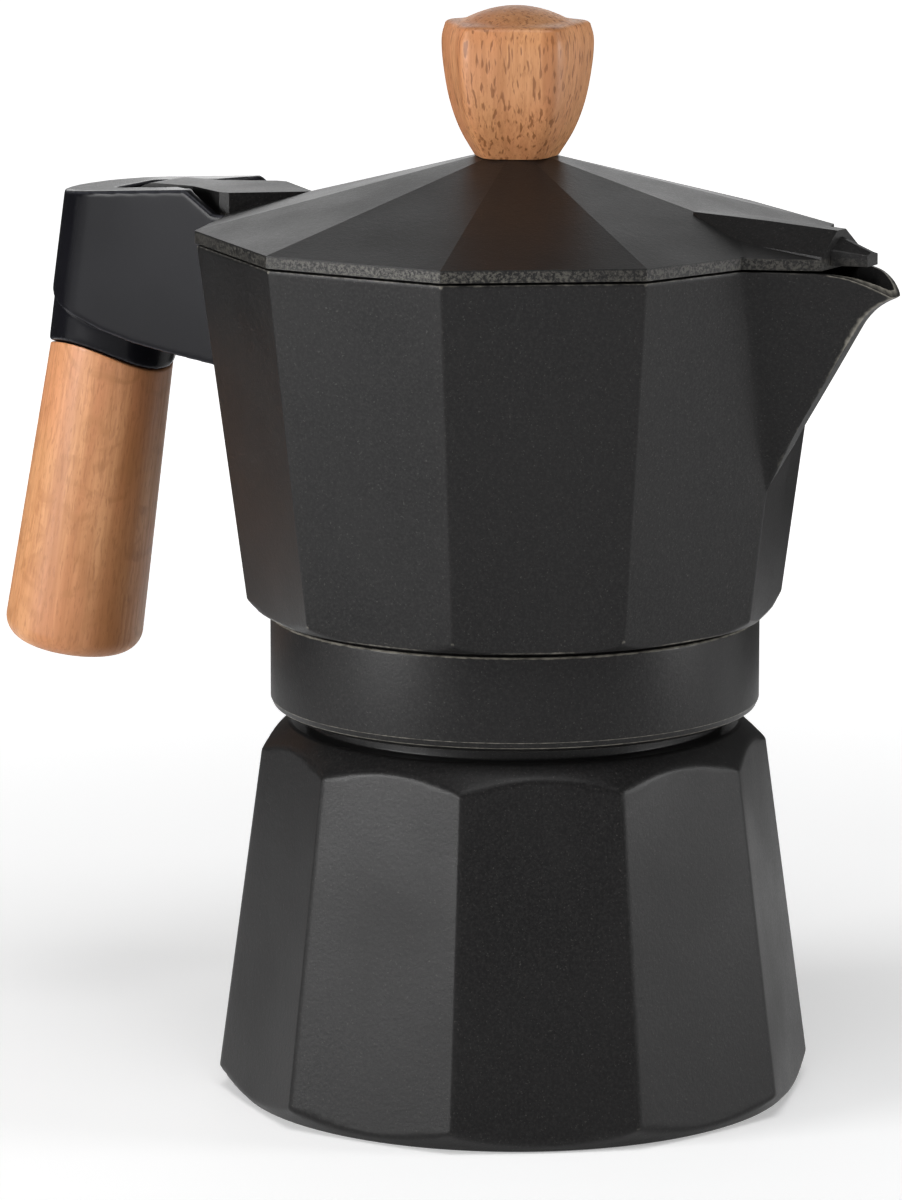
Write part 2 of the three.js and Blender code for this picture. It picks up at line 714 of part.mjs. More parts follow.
const uprightPieces = [
  ['boiler', makeBoiler, 'castBlack'],
  ['collector', makeCollector, 'castBlack'],
  ['lid', makeLid, 'castBlack'],
  ['knob', makeKnob, 'beech'],
  ['knob_insert', makeKnobInsert, 'brass'],
  ['knob_washer', makeKnobWasher, 'steel'],
  ['knob_screw', makeKnobScrew, 'steel'],
  ['handle_bracket', makeBracket, 'blackPlastic'],
  ['bracket_screw', makeBracketScrew, 'steel'],
  ['hinge_pin', makeHingePin, 'steel'],
  ['riser_column', makeColumn, 'aluminium'],
  ['gasket', makeGasket, 'silicone'],
  ['filter_plate', makeFilterPlate, 'aluminium'],
  ['funnel_basket', makeBasket, 'aluminium'],
  ['funnel_sieve', makeSieve, 'aluminium'],
  ['funnel_stem', makeStem, 'aluminium'],
];

const gripPieces = [
  ['grip', makeGrip, 'beech'],
  ['grip_insert', makeGripInsert, 'brass'],
  ['grip_washer', makeGripWasher, 'steel'],
  ['grip_screw', makeGripScrew, 'steel'],
];

const valvePieces = [
  ['valve_body', makeValveBody, 'brass'],
  ['valve_seal', makeValveSeal, 'fibre'],
  ['valve_pin', makeValvePin, 'steel'],
  ['valve_spring', makeValveSpring, 'steel'],
  ['valve_retainer', makeValveRetainer, 'brass'],
];

for (const [name, make, finish] of uprightPieces) {
  mokaPot.add(toMesh(name, make(), finish));
}

function addGroup(frame, pieces) {
  const group = new THREE.Group();
  group.position.copy(frame.position);
  group.quaternion.copy(frame.quaternion);
  for (const [name, make, finish] of pieces) {
    group.add(toMesh(name, make(), finish));
  }
  mokaPot.add(group);
}

addGroup(gripFrame, gripPieces);
addGroup(valveFrame, valvePieces);

export default mokaPot;
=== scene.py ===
import math
import bmesh
import bpy
import numpy as np
from mathutils import Matrix, Vector


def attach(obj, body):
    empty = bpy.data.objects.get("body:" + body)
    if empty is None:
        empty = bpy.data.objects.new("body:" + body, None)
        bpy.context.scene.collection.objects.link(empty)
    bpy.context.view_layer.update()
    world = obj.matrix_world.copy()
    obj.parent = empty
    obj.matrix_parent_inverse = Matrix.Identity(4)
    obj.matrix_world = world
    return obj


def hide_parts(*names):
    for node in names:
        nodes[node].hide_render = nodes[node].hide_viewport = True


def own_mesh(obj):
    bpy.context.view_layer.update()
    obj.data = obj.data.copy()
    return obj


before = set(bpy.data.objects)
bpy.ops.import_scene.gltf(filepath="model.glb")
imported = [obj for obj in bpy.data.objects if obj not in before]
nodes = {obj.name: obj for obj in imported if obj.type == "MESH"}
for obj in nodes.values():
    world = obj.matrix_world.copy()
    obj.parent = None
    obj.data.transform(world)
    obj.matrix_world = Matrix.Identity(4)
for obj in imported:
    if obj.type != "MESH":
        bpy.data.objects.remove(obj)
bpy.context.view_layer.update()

# Shapes below are in millimetres, in the frame of the CAD model: +X to the spout, the handle at -X.
MM = 0.001
SIDES = 10
HALF_SIDE = math.pi / SIDES
RIDGE_ROUND = 0.9
FILLET_STEPS = 4
WELD = 1e-6
GRIP_TILT = 9.9
THREAD_PITCH = 3.2
THREAD_TURNS = 2.6


# ---------------------------------------------------------------- small shape helpers
def smooth_min(a, b, blend):
    gap = max(blend - abs(a - b), 0.0)
    return min(a, b) - gap * gap / (4 * blend)


def smooth_max(a, b, blend):
    return -smooth_min(-a, -b, blend)


def along(points, at):
    """Value of a polyline of (position, value) pairs, carried straight on past its ends."""
    i = 1
    while i < len(points) - 1 and points[i][0] < at:
        i += 1
    (p0, v0), (p1, v1) = points[i - 1], points[i]
    return v0 + (v1 - v0) * (at - p0) / (p1 - p0)


def eased(points, at, reach):
    """The same polyline with its corners softened over a reach to each side."""
    steps = (-1.0, -0.6, -0.2, 0.2, 0.6, 1.0)
    return sum(along(points, at + reach * step) for step in steps) / len(steps)


def spaced(start, end, step):
    count = max(1, round(abs(end - start) / step))
    return [start + (end - start) * i / count for i in range(count + 1)]


def filleted(points, radius, closed=False):
    """Polyline of (r, z) with its corners rounded; a point on the axis stays sharp."""
    path = []
    count = len(points)
    for i, (r, z) in enumerate(points):
        is_end = not closed and i in (0, count - 1)
        if is_end or r < 1e-6:
            path.append((r, z))
            continue
        here = Vector((r, z))
        before = Vector(points[i - 1]) - here
        after = Vector(points[(i + 1) % count]) - here
        turn = math.pi - before.angle(after)
        reach = min(radius * math.tan(turn / 2), before.length * 0.45, after.length * 0.45)
        a = here + before.normalized() * reach
        b = here + after.normalized() * reach
        for k in range(FILLET_STEPS + 1):
            t = k / FILLET_STEPS
            p = a * (1 - t) ** 2 + here * 2 * t * (1 - t) + b * t * t
            path.append((p.x, p.y))
    return path


def spline(points, count):
    """Points on a curve through the given ones, evenly spaced from one given point to the next."""
    path = []
    for i in range(count + 1):
        at = (len(points) - 1) * i / count
        k = min(int(at), len(points) - 2)
        t = at - k
        p0, p1, p2, p3 = [points[min(max(k + d, 0), len(points) - 1)] for d in (-1, 0, 1, 2)]
        point = []
        for a, b, c, d in zip(p0, p1, p2, p3):
            v0, v1 = (c - a) / 2, (d - b) / 2
            cubic = (2 * b - 2 * c + v0 + v1) * t ** 3 + (3 * c - 3 * b - 2 * v0 - v1) * t * t
            point.append(cubic + v0 * t + b)
        path.append(tuple(point))
    return path


def circle(radius, z, count):
    step = 2 * math.pi / count
    return [(radius * math.cos(i * step), radius * math.sin(i * step), z) for i in range(count)]


# ---------------------------------------------------------------- making pieces
def placed(name, data):
    """A new object in the scene with the given data."""
    item = bpy.data.objects.new(name, data)
    bpy.context.scene.collection.objects.link(item)
    return item


def new_piece(name, mesh, body, replaced, material):
    piece = placed(name, mesh)
    piece.data.materials.append(material)
    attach(piece, body)
    if replaced:
        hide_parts(*replaced)
    return piece


def shade(mesh, sharp_degrees):
    mesh.polygons.foreach_set("use_smooth", [True] * len(mesh.polygons))
    mesh.set_sharp_from_angle(angle=math.radians(sharp_degrees))


def ring_mesh(name, rings, closed=False, place=None, sharp_degrees=40):
    """Mesh through rings of points; a ring of radius zero becomes a single pole."""
    mesh = bpy.data.meshes.new(name)
    bm = bmesh.new()
    move = place or Matrix.Identity(4)
    levels = []
    for points in rings:
        is_pole = all(abs(x) + abs(y) < 1e-6 for x, y, _ in points)
        chosen = points[:1] if is_pole else points
        levels.append([bm.verts.new((move @ Vector(p)) * MM) for p in chosen])
    pairs = list(zip(levels, levels[1:]))
    if closed:
        pairs.append((levels[-1], levels[0]))
    for low, high in pairs:
        count = max(len(low), len(high))
        for i in range(count):
            j = (i + 1) % count
            if len(low) == 1:
                bm.faces.new((low[0], high[j], high[i]))
            elif len(high) == 1:
                bm.faces.new((low[i], low[j], high[0]))
            else:
                bm.faces.new((low[i], low[j], high[j], high[i]))
    bmesh.ops.recalc_face_normals(bm, faces=bm.faces)
    bm.to_mesh(mesh)
    bm.free()
    shade(mesh, sharp_degrees)
    return mesh


def turned(name, outline, radius, count=96, closed=True, place=None):
    """Turned piece from an outline of (r, z) with rounded corners."""
    path = filleted(outline, radius, closed=closed)
    return ring_mesh(name, [circle(r, z, count) for r, z in path], closed=closed, place=place)


def baked(mesh, *modifiers):
    """The mesh with modifiers given as (type, settings) applied to it."""
    holder = placed("holder", mesh)
    for kind, settings in modifiers:
        modifier = holder.modifiers.new(kind.lower(), kind)
        for key, value in settings.items():
            setattr(modifier, key, value)
    view = bpy.context.evaluated_depsgraph_get()
    result = bpy.data.meshes.new_from_object(holder.evaluated_get(view))
    bpy.data.objects.remove(holder)
    return result


def carved(mesh, tool, **settings):
    """The mesh with the shape of another mesh cut out of it."""
    cutter = placed("cutter", tool)
    cut = {"operation": "DIFFERENCE", "solver": "EXACT", "object": cutter, **settings}
    result = baked(mesh, ("BOOLEAN", cut))
    bpy.data.objects.remove(cutter)
    shade(result, 35)
    return result


def cad_copy(node, flat_degrees=0.6):
    """A node's mesh with its flat areas joined into whole faces."""
    mesh = nodes[node].data.copy()
    mesh.materials.clear()
    bm = bmesh.new()
    bm.from_mesh(mesh)
    bmesh.ops.remove_doubles(bm, verts=bm.verts, dist=WELD)
    if flat_degrees:
        limit = math.radians(flat_degrees)
        bmesh.ops.dissolve_limit(bm, angle_limit=limit, verts=bm.verts, edges=bm.edges)
    bm.to_mesh(mesh)
    bm.free()
    return mesh


def softened(node, width, from_degrees):
    """A node's mesh with every edge sharper than an angle rounded over."""
    mesh = cad_copy(node)
    mesh.polygons.foreach_set("use_smooth", [True] * len(mesh.polygons))
    bevel = {
        "width": width * MM,
        "segments": 3,
        "limit_method": "ANGLE",
        "angle_limit": math.radians(from_degrees),
        "miter_outer": "MITER_ARC",
        "use_clamp_overlap": True,
    }
    return baked(mesh, ("BEVEL", bevel), ("WEIGHTED_NORMAL", {"keep_sharp": True}))


def mark_wear(mesh, full_at):
    """Stores how convex the surface is at each point, as the attribute that worn edges read."""
    count = len(mesh.vertices)
    edges = np.empty(len(mesh.edges) * 2, dtype=np.int64)
    mesh.edges.foreach_get("vertices", edges)
    edges = edges.reshape(-1, 2)
    place = np.empty(count * 3)
    mesh.vertices.foreach_get("co", place)
    place = place.reshape(-1, 3) / MM
    normal = np.empty(count * 3)
    mesh.vertices.foreach_get("normal", normal)
    normal = normal.reshape(-1, 3)
    a, b = edges[:, 0], edges[:, 1]
    span = place[a] - place[b]
    squared = np.maximum((span ** 2).sum(axis=1), 0.0025)
    bend_a = 2 * (normal[a] * span).sum(axis=1) / squared
    bend_b = -2 * (normal[b] * span).sum(axis=1) / squared
    near = np.maximum(np.bincount(a, minlength=count) + np.bincount(b, minlength=count), 1)
    total = np.bincount(a, bend_a, minlength=count) + np.bincount(b, bend_b, minlength=count)
    wear = np.clip(total / near * full_at, 0.0, 1.0)
    for _ in range(2):
        total = np.bincount(a, wear[b], minlength=count) + np.bincount(b, wear[a], minlength=count)
        wear = 0.5 * wear + 0.5 * total / near
    attribute = mesh.attributes.new("wear", "FLOAT", "POINT")
    attribute.data.foreach_set("value", wear.astype(np.float32))


# ---------------------------------------------------------------- materials
RANGE_ENDS = ("From Min", "From Max", "To Min", "To Max")


class Look:
    """A material and short names for adding nodes to it."""

    def __init__(self, name):
        self.material = bpy.data.materials.new(name)
        self.material.use_nodes = True
        self.tree = self.material.node_tree
        self.shader = self.tree.nodes["Principled BSDF"]
        self.coords = self.tree.nodes.new("ShaderNodeTexCoord").outputs["Object"]

    def put(self, socket, value):
        if isinstance(value, bpy.types.NodeSocket):
            self.tree.links.new(value, socket)
        else:
            socket.default_value = value

    def mapped(self, scale, tilt=0.0):
        """Object coordinates turned about Y by a tilt in degrees, then scaled."""
        coords = self.coords
        if tilt:
            turn = self.tree.nodes.new("ShaderNodeMapping")
            self.put(turn.inputs["Vector"], coords)
            turn.inputs["Rotation"].default_value = (0, math.radians(-tilt), 0)
            coords = turn.outputs["Vector"]
        node = self.tree.nodes.new("ShaderNodeMapping")
        self.put(node.inputs["Vector"], coords)
        node.inputs["Scale"].default_value = scale
        return node.outputs["Vector"]

    def noise(self, coords, detail=2.0, roughness=0.5, distortion=0.0):
        node = self.tree.nodes.new("ShaderNodeTexNoise")
        self.put(node.inputs["Vector"], coords)
        node.inputs["Scale"].default_value = 1.0
        node.inputs["Detail"].default_value = detail
        node.inputs["Roughness"].default_value = roughness
        node.inputs["Distortion"].default_value = distortion
        return node.outputs["Fac"]

    def spread(self, value, low, high, to_low=0.0, to_high=1.0):
        node = self.tree.nodes.new("ShaderNodeMapRange")
        node.interpolation_type = "SMOOTHSTEP"
        self.put(node.inputs["Value"], value)
        for key, number in zip(RANGE_ENDS, (low, high, to_low, to_high)):
            node.inputs[key].default_value = number
        return node.outputs["Result"]

    def math(self, operation, a, b):
        node = self.tree.nodes.new("ShaderNodeMath")
        node.operation = operation
        self.put(node.inputs[0], a)
        self.put(node.inputs[1], b)
        return node.outputs[0]

    def mix(self, factor, a, b):
        node = self.tree.nodes.new("ShaderNodeMix")
        node.data_type = "RGBA"
        self.put(node.inputs[0], factor)
        self.put(node.inputs[6], a if isinstance(a, bpy.types.NodeSocket) else (*a, 1))
        self.put(node.inputs[7], b if isinstance(b, bpy.types.NodeSocket) else (*b, 1))
        return node.outputs[2]

    def bump(self, height, depth):
        """Relief of a depth in millimetres."""
        node = self.tree.nodes.new("ShaderNodeBump")
        node.inputs["Strength"].default_value = 1.0
        node.inputs["Distance"].default_value = depth * MM
        self.put(node.inputs["Height"], height)
        return node.outputs["Normal"]

    def attribute(self, name):
        node = self.tree.nodes.new("ShaderNodeAttribute")
        node.attribute_name = name
        return node.outputs["Fac"]

    def finish(self, color, roughness, normal=None, **fixed):
        self.put(self.shader.inputs["Base Color"], color)
        self.put(self.shader.inputs["Roughness"], roughness)
        if normal is not None:
            self.put(self.shader.inputs["Normal"], normal)
        for key, value in fixed.items():
            self.shader.inputs[key.replace("_", " ")].default_value = value
        return self.material


def filed_band(look, low, high):
    """Mask of bare metal speckles between two heights in millimetres, thicker in some stretches."""
    split = look.tree.nodes.new("ShaderNodeSeparateXYZ")
    look.put(split.inputs[0], look.coords)
    height = split.outputs["Z"]
    above = look.spread(height, (low - 0.15) * MM, (low + 0.1) * MM)
    below = look.spread(height, high * MM, (high + 0.35) * MM, 1.0, 0.0)
    inside = look.math("MULTIPLY", above, below)
    uneven = look.spread(look.noise(look.mapped((26,) * 3), detail=3.0), 0.36, 0.66, 0.1, 1.0)
    grain = look.noise(look.mapped((1900,) * 3), detail=3.0, roughness=0.75)
    speckle = look.math("MULTIPLY", look.spread(grain, 0.42, 0.6), 0.32)
    return look.math("MULTIPLY", look.math("MULTIPLY", inside, uneven), speckle)


def cast_black(name, rough=0.4, worn=1.0, band=None):
    """Matt black sprayed casting: sandy grain, tiny painted glints (pale light specks in the colour), edges
    rubbed towards bare metal.

    A band, as (low z, high z) in millimetres, is speckled with bare metal all round.
    """
    look = Look(name)
    sand = look.noise(look.mapped((2300,) * 3), detail=3.0, roughness=0.7)
    pits = look.noise(look.mapped((900,) * 3), detail=2.0)
    cloud = look.noise(look.mapped((48,) * 3), detail=3.0)
    # Painted glints: tiny pale specks mixed into the colour, standing in for light sparkling off the paint.
    painted_glint = look.spread(look.noise(look.mapped((3600,) * 3), detail=1.0), 0.66, 0.78)
    tone = look.mix(look.spread(cloud, 0.3, 0.7), (0.006, 0.0058, 0.006), (0.0082, 0.008, 0.0081))
    tone = look.mix(look.spread(sand, 0.38, 0.72), tone, (0.0145, 0.014, 0.0138))
    tone = look.mix(look.math("MULTIPLY", painted_glint, 0.25), tone, (0.12, 0.115, 0.105))
    rubbed = look.math("MULTIPLY", look.attribute("wear"), worn)
    ragged = look.math("ADD", rubbed, look.math("MULTIPLY", pits, 0.5))
    bare = look.spread(ragged, 0.66, 1.15)
    if band:
        bare = look.math("MAXIMUM", bare, filed_band(look, *band))
    tone = look.mix(look.math("MULTIPLY", bare, 0.8), tone, (0.25, 0.235, 0.2))
    mottle = look.math("ADD", look.math("MULTIPLY", cloud, 0.6), look.math("MULTIPLY", sand, 0.4))
    gloss = look.spread(mottle, 0.3, 0.7, rough - 0.06, rough + 0.08)
    relief = look.bump(look.math("ADD", sand, look.math("MULTIPLY", pits, 0.8)), 0.024)
    return look.finish(tone, gloss, relief, Specular_IOR_Level=0.17)


def beech(name, tilt=0.0, flecks=1.0, ripple=0.0):
    """Oiled beech: fine fibres along Z, short dark flecks, soft growth bands and pinkish patches."""
    look = Look(name)
    fibre = look.noise(look.mapped((1500, 1500, 60), tilt), detail=3.5, roughness=0.62)
    fleck = look.noise(look.mapped((1900, 1900, 330), tilt), detail=1.5, roughness=0.5)
    pore = look.noise(look.mapped((3600, 3600, 600), tilt), detail=1.0)
    band = look.noise(look.mapped((210, 70, 11), tilt), detail=2.5, distortion=0.6)
    patch = look.noise(look.mapped((85, 85, 40), tilt), detail=2.5)
    tone = look.mix(look.spread(band, 0.4, 0.6), (0.54, 0.262, 0.115), (0.4, 0.165, 0.064))
    tone = look.mix(look.math("MULTIPLY", look.spread(patch, 0.42, 0.7), 0.6), tone, (0.53, 0.215, 0.1))
    tone = look.mix(look.spread(fibre, 0.32, 0.72, 0.0, 0.55), tone, (0.33, 0.133, 0.046))
    if ripple:
        swirl = look.noise(look.mapped((120, 120, 150), tilt), detail=3.0, distortion=1.4)
        tone = look.mix(look.spread(swirl, 0.5, 0.68, 0.0, ripple), tone, (0.36, 0.15, 0.055))
    dashes = look.math("MULTIPLY", look.spread(fleck, 0.57, 0.66), flecks)
    tone = look.mix(look.math("MULTIPLY", dashes, 0.8), tone, (0.2, 0.07, 0.021))
    tone = look.mix(look.math("MULTIPLY", look.spread(pore, 0.58, 0.7), 0.4), tone, (0.25, 0.095, 0.03))
    gloss = look.spread(fibre, 0.3, 0.7, 0.38, 0.52)
    height = look.math("SUBTRACT", look.math("MULTIPLY", fibre, 0.6), dashes)
    return look.finish(tone, gloss, look.bump(height, 0.025), Specular_IOR_Level=0.45)


def black_plastic(name):
    """Moulded phenolic: blue-black, satin, faint orange peel, a little paler where it is handled."""
    look = Look(name)
    peel = look.noise(look.mapped((420,) * 3), detail=2.0)
    dust = look.noise(look.mapped((2800,) * 3), detail=2.0)
    cloud = look.noise(look.mapped((38,) * 3), detail=3.0)
    tone = look.mix(look.spread(cloud, 0.3, 0.7), (0.0042, 0.0042, 0.0055), (0.006, 0.006, 0.0078))
    tone = look.mix(look.spread(dust, 0.62, 0.75, 0.0, 0.35), tone, (0.016, 0.016, 0.019))
    handled = look.math("ADD", look.attribute("wear"), look.math("MULTIPLY", dust, 0.35))
    rubbed = look.spread(handled, 0.5, 1.1, 0.0, 0.6)
    tone = look.mix(rubbed, tone, (0.045, 0.046, 0.054))
    gloss = look.spread(cloud, 0.3, 0.7, 0.2, 0.27)
    relief = look.bump(look.math("ADD", peel, look.math("MULTIPLY", dust, 0.15)), 0.012)
    return look.finish(tone, gloss, relief, Specular_IOR_Level=0.1)


def metal(name, tone, rough, dull, lines=(300, 300, 300), depth=0.006):
    """Bare metal with fine machining lines, dull patches and small scratches."""
    look = Look(name)
    line = look.noise(look.mapped(lines), detail=4.0, roughness=0.7)
    cloud = look.noise(look.mapped((110,) * 3), detail=3.0)
    nick = look.noise(look.mapped((2400, 500, 500)), detail=2.0)
    color = look.mix(look.spread(cloud, 0.3, 0.7), tone, dull)
    color = look.mix(look.spread(nick, 0.66, 0.78, 0.0, 0.4), color, tuple(0.45 * c for c in tone))
    mottle = look.math("ADD", look.math("MULTIPLY", cloud, 0.5), look.math("MULTIPLY", line, 0.5))
    gloss = look.spread(mottle, 0.3, 0.7, rough - 0.07, rough + 0.1)
    return look.finish(color, gloss, look.bump(line, depth), Metallic=1.0)


def rubber(name, light, shade_tone, rough):
    """Soft seal: slightly cloudy with a fine moulded grain."""
    look = Look(name)
    cloud = look.noise(look.mapped((90,) * 3), detail=3.0)
    grain = look.noise(look.mapped((1500,) * 3), detail=2.0)
    tone = look.mix(look.spread(cloud, 0.3, 0.7), light, shade_tone)
    tone = look.mix(look.spread(grain, 0.62, 0.8, 0.0, 0.3), tone, tuple(0.6 * c for c in shade_tone))
    gloss = look.spread(grain, 0.3, 0.7, rough - 0.06, rough + 0.06)
    return look.finish(tone, gloss, look.bump(grain, 0.01))


paint = cast_black("cast_black", worn=0.75)
paint_lid = cast_black("cast_black_lid", rough=0.38, worn=0.9, band=(131.5, 133.0))
knob_beech = beech("beech_knob")
grip_beech = beech("beech_grip", tilt=GRIP_TILT, flecks=0.3, ripple=0.7)
plastic = black_plastic("black_plastic")
aluminium = metal("turned_aluminium", (0.62, 0.63, 0.64), 0.36, (0.50, 0.505, 0.51), lines=(150, 150, 2600))
steel = metal("polished_steel", (0.58, 0.58, 0.585), 0.27, (0.46, 0.46, 0.465))
brass = metal("brass", (0.58, 0.42, 0.17), 0.3, (0.42, 0.29, 0.11))
silicone = rubber("silicone", (0.80, 0.78, 0.73), (0.70, 0.67, 0.60), 0.62)
fibre_red = rubber("fibre_red", (0.30, 0.055, 0.035), (0.22, 0.04, 0.026), 0.8)


# ---------------------------------------------------------------- ten-sided walls
def wall_radius(angle, corner, rounding=RIDGE_ROUND):
    """Distance from the axis to a ten-sided wall whose corners, at multiples of 36 degrees, are rounded."""
    apothem = corner * math.cos(HALF_SIDE)
    turn = angle % (2 * HALF_SIDE)
    away = min(turn, 2 * HALF_SIDE - turn)
    from_middle = HALF_SIDE - away
    if apothem * math.tan(from_middle) <= (apothem - rounding) * math.tan(HALF_SIDE):
        return apothem / math.cos(from_middle)
    centre = (apothem - rounding) / math.cos(HALF_SIDE)
    return centre * math.cos(away) + math.sqrt(rounding ** 2 - (centre * math.sin(away)) ** 2)


def wall_angles(extra=()):
    """Angles round the axis, close together at the ridges."""
    degrees = set()
    for side in range(SIDES):
        ridge = side * 36.0
        for away in (0.0, 0.12, 0.24, 0.36, 0.5, 0.7, 1.1):
            degrees.add(round((ridge + away) % 360, 4))
            degrees.add(round((ridge - away) % 360, 4))
        for between in spaced(2.2, 33.8, 3.2):
            degrees.add(round((ridge + between) % 360, 4))
    for angle in extra:
        degrees.add(round(angle % 360, 4))
    return [math.radians(d) for d in sorted(degrees)]


def thread_height(angle, z, start, depth):
    """How far a helical thread stands out of its root at a point."""
    height = 0.0
    for whole in range(3):
        turn = whole + angle / (2 * math.pi)
        if turn > THREAD_TURNS:
            continue
        fade = min(1.0, turn * 4.7, (THREAD_TURNS - turn) * 4.7)
        away = abs(z - start - turn * THREAD_PITCH)
        height = max(height, depth * fade * min(max((0.95 - away) / 0.65, 0.0), 1.0))
    return height


def wall_ring(angles, radii, levels):
    """Ring with a radius and a height for each of a wall's angles."""
    return [(r * math.cos(a), r * math.sin(a), z) for a, r, z in zip(angles, radii, levels)]


def level_ring(angles, radius_at, z):
    """Ring at one height whose radius is a function of the angle."""
    return wall_ring(angles, [radius_at(a) for a in angles], [z] * len(angles))


def sloping_ring(angles, wall, levels, grow=0.0, drop=0.0):
    """Ring of a wall at a height for each angle, then grown and dropped by a little."""
    radii = [wall(a, z) + grow for a, z in zip(angles, levels)]
    return wall_ring(angles, radii, [z - drop for z in levels])


def round_rings(angles, path):
    """Round rings at a wall's angles, one for each (r, z) of a path."""
    return [wall_ring(angles, [r] * len(angles), [z] * len(angles)) for r, z in path]


# ---------------------------------------------------------------- boiler
BOILER_TWIST = math.radians(1.13)
BOILER_CORNER = 45.84
BOILER_CORNER_LEVEL = 3.38
BOILER_TAPER = 0.136
FOOT_RADIUS = 42.54
FOOT_SLOPE = 0.976
SHOULDER_RADIUS = 39.0
SHOULDER_LEVEL = 53.55
SHOULDER_SLOPE = 1.0725
NECK_RADIUS = 32.0
NECK_BORE = 28.5
NECK_TOP = 70.0


def boiler_wall(angle, z):
    corner = BOILER_CORNER - BOILER_TAPER * (z - BOILER_CORNER_LEVEL)
    r = wall_radius(angle - BOILER_TWIST, corner)
    r = smooth_min(r, FOOT_RADIUS + z * FOOT_SLOPE, 0.5)
    return smooth_min(r, SHOULDER_RADIUS + (SHOULDER_LEVEL - z) * SHOULDER_SLOPE, 0.55)


def make_boiler():
    angles = wall_angles()
    underside = [(0, 0.4), (33.4, 0.4), (34.2, 0), (41.6, 0)]
    neck_foot = [(34.9, 57.4), (34.3, 57.55), (NECK_RADIUS, 57.6), (NECK_RADIUS, 59.6)]
    inside = [
        (NECK_RADIUS, NECK_TOP - 0.35), (NECK_RADIUS, NECK_TOP), (NECK_BORE, NECK_TOP), (NECK_BORE, 55.0),
        (34.3, 49.5), (39.3, 7.2), (36.0, 3.6), (0, 3.6),
    ]
    rings = round_rings(angles, filleted(underside, 0.4))
    rings.append(level_ring(angles, lambda angle: boiler_wall(angle, 0.0) - 0.3, 0.05))
    for z in spaced(0.2, 4.0, 0.25) + spaced(6.0, 51.0, 2.5) + spaced(52.6, 57.2, 0.16):
        rings.append(level_ring(angles, lambda angle: boiler_wall(angle, z), z))
    rings += round_rings(angles, filleted(neck_foot, 0.35))
    for z in spaced(59.75, 69.6, 0.24):
        rings.append(level_ring(angles, lambda angle: NECK_RADIUS + thread_height(angle, z, 60.8, 1.0), z))
    rings += round_rings(angles, filleted(inside, 0.4))
    mesh = ring_mesh("boiler_casting", rings)
    mark_wear(mesh, 0.9)
    new_piece("boiler_casting", mesh, "boiler_body", ["boiler"], paint)


# ---------------------------------------------------------------- collector
RIM = 131.2
SPOUT_ROOT = 97.0
KEEL = [(97, 43.9), (107, 49.6), (113, 53.3), (124, 60.0), (126.3, 62.4), (127.7, 65.4), (128.4, 67.5)]
CHANNEL = [(97, 40.8), (107, 46.5), (113, 50.2), (124, 57.0), (126.6, 59.7), (128.1, 62.4), (128.9, 64.8),
           (129.6, 67.6)]
MOUTH = [(40, RIM), (57.0, RIM), (60.2, 130.7), (62.6, 129.7), (64.3, 128.6), (65.4, 127.7)]
LIP_START = 57.0
TIP_CENTRE = 55.0
TIP_RADIUS = 10.4
CHAMBER_CORNER = 41.26
CHAMBER_CORNER_LEVEL = 77.41
CHAMBER_FLARE = 0.133
CHAMBER_WALL = 2.6
CHAMBER_FLOOR = 80.5
COLLAR_BORE = 34.0
RIM_ROUND = 0.35


def chamber_corner(z):
    return CHAMBER_CORNER + CHAMBER_FLARE * (z - CHAMBER_CORNER_LEVEL)


def wedge(angle, z, nose, blunt, rounding):
    """Radius of the spout's two slanting sides and blunt front, or zero away from it."""
    turn = (angle + math.pi) % (2 * math.pi) - math.pi
    if z <= SPOUT_ROOT or abs(turn) > 0.6:
        return 0.0
    share = min(z - SPOUT_ROOT, RIM - SPOUT_ROOT) / (RIM - SPOUT_ROOT)
    side_y = 10.6 * share
    side_x = chamber_corner(z) - side_y * math.tan(HALF_SIDE)
    outer_nose = eased(KEEL, z, 1.0)
    outer_blunt = min(1.2, side_y * 0.5)
    run = (side_y - outer_blunt) / max(outer_nose - side_x, 0.05)
    sine, cosine = abs(math.sin(turn)), math.cos(turn)
    slant = (blunt * outer_blunt / 1.2 + run * nose) / (sine + run * cosine)
    return smooth_min(slant, nose / cosine, rounding)


def collector_outside(angle, z):
    r = wall_radius(angle, chamber_corner(z))
    r = smooth_min(r, 39.3 + (z - 75.0) * 1.2255, 0.5)
    spout = wedge(angle, z, eased(KEEL, z, 1.0), 1.2, 0.5)
    if spout:
        sine, cosine = abs(math.sin(angle)), math.cos(angle)
        inside = TIP_RADIUS ** 2 - (TIP_CENTRE * sine) ** 2
        if z > 118 and inside > 0:
            spout = smooth_min(spout, TIP_CENTRE * cosine + math.sqrt(inside), 0.6)
        r = smooth_max(r, spout, 0.35)
    return r


def collector_inside(angle, z):
    r = wall_radius(angle, chamber_corner(z) - CHAMBER_WALL, 0.6)
    r = smooth_min(r, 34.0 + (z - CHAMBER_FLOOR) * 1.25, 0.8)
    channel = wedge(angle, z, eased(CHANNEL, z, 1.0), 0.7, 0.5)
    return smooth_max(r, channel, 0.5) if channel else r


def mouth_level(wall, angle):
    """Height at which a wall meets the rim, which falls towards the tip of the spout."""
    low, high = 118.0, RIM
    for _ in range(24):
        z = (low + high) / 2
        if z > eased(MOUTH, wall(angle, z) * math.cos(angle), 0.7):
            high = z
        else:
            low = z
    return min(low, RIM)


